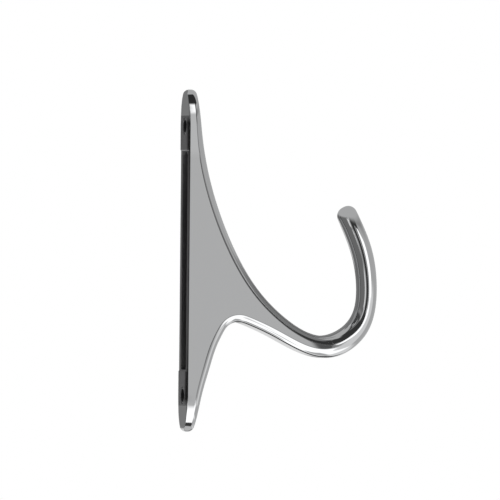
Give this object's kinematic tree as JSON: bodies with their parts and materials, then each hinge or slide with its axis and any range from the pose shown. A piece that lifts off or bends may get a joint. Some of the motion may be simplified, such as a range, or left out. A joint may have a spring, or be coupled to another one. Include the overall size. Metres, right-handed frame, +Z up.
{
  "type": "coat hook",
  "caption": "Chromed cast coat hook: tapering back with upper and lower tails, flat-sided web sweeping into a round upturned arm, cored back with threaded bushes for screws from behind a panel.",
  "frame": {"origin": "On the plane of the two back pads, in the hook's middle plane, halfway between the two fixings.", "axes": "+X points out from the panel, the way the arm reaches. +Y runs across the hook. +Z is up, towards the longer tail above the arm."},
  "size_m": [0.0709, 0.014, 0.122],
  "materials": {
    "chromed_casting": "polished chrome on the sides and front, unpolished plating on the back",
    "bush_steel": "plain zinc-plated steel, turned"
  },
  "bodies": {
    "root": {"hook_casting": "chromed_casting", "upper_threaded_bush": "bush_steel", "lower_threaded_bush": "bush_steel"}
  },
  "joints": []
}
